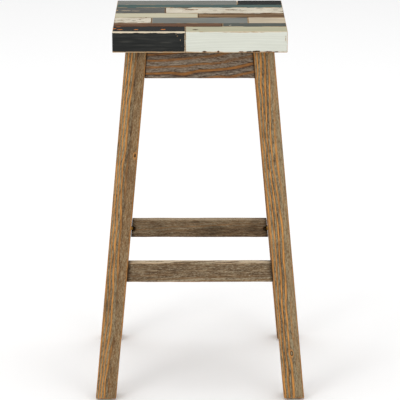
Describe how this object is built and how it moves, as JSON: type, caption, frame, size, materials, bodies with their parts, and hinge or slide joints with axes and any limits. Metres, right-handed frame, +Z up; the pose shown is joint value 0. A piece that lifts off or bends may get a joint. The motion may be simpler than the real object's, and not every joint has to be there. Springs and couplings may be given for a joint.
{
  "type": "bar stool",
  "caption": "Backless wooden bar stool with a patchwork seat of worn painted boards, splayed brushed-wood legs, and a footrest stretcher.",
  "frame": {"origin": "on the floor, under the middle of the seat", "axes": "+Z up, -Y towards the stool's front (the side with the footrest seen first), +X to the right seen from the front"},
  "size_m": [0.427, 0.376, 0.762],
  "materials": {
    "brown_wood": "brushed grain, brown stain with grey glaze, matt",
    "raw_wood": "bare sanded wood",
    "black_paint": "satin black paint, worn to cream and wood at the edges",
    "white_paint": "chalky greenish white paint on the front, pale green on top, chipped edges",
    "cream_paint": "cream paint with brown cracks and worn spots",
    "grey_paint": "brushed mid grey paint",
    "dark_grey_paint": "dark grey paint with pale scratches",
    "blue_grey_paint": "dark blue grey paint",
    "red_brown_paint": "red brown paint, streaked",
    "brown_stain": "streaked brown stain",
    "beige_paint": "thin pinkish beige paint",
    "yellow_green_paint": "pale yellow green paint",
    "teal_paint": "dark teal paint",
    "yellow_zinc": "yellow zinc-plated steel",
    "glide_plastic": "grey moulded plastic"
  },
  "bodies": {
    "root": {"seat_front_board_left": "black_paint", "seat_front_board_right": "white_paint", "seat_strip_2_left": "red_brown_paint", "seat_strip_2_right": "blue_grey_paint", "seat_strip_3_left": "cream_paint", "seat_strip_3_middle": "grey_paint", "seat_strip_3_right": "beige_paint", "seat_strip_4_left": "yellow_green_paint", "seat_strip_4_right": "brown_stain", "seat_strip_5_left": "dark_grey_paint", "seat_strip_5_right": "cream_paint", "seat_strip_6": "teal_paint", "seat_rear_board_left": "grey_paint", "seat_rear_board_right": "black_paint", "seat_panel": "raw_wood", "seat_edge_left": "grey_paint", "seat_edge_right": "grey_paint", "leg_front_left": "brown_wood", "leg_front_right": "brown_wood", "leg_rear_left": "brown_wood", "leg_rear_right": "brown_wood", "apron_front": "brown_wood", "apron_rear": "brown_wood", "apron_left": "brown_wood", "apron_right": "brown_wood", "stretcher_front": "brown_wood", "stretcher_rear": "brown_wood", "stretcher_left": "brown_wood", "stretcher_right": "brown_wood", "corner_block_front_left": "raw_wood", "corner_block_front_right": "raw_wood", "corner_block_rear_left": "raw_wood", "corner_block_rear_right": "raw_wood", "glide_front_left": "glide_plastic", "glide_front_right": "glide_plastic", "glide_rear_left": "glide_plastic", "glide_rear_right": "glide_plastic", "stretcher_front_screw_left": "yellow_zinc", "stretcher_front_screw_right": "yellow_zinc", "stretcher_rear_screw_left": "yellow_zinc", "stretcher_rear_screw_right": "yellow_zinc", "stretcher_left_screw_front": "yellow_zinc", "stretcher_left_screw_rear": "yellow_zinc", "stretcher_right_screw_front": "yellow_zinc", "stretcher_right_screw_rear": "yellow_zinc", "seat_screw_front_left": "yellow_zinc", "seat_screw_front_right": "yellow_zinc", "seat_screw_rear_left": "yellow_zinc", "seat_screw_rear_right": "yellow_zinc", "block_screw_front_left_side": "yellow_zinc", "block_screw_front_left_end": "yellow_zinc", "block_screw_front_right_side": "yellow_zinc", "block_screw_front_right_end": "yellow_zinc", "block_screw_rear_left_side": "yellow_zinc", "block_screw_rear_left_end": "yellow_zinc", "block_screw_rear_right_side": "yellow_zinc", "block_screw_rear_right_end": "yellow_zinc"}
  },
  "joints": []
}
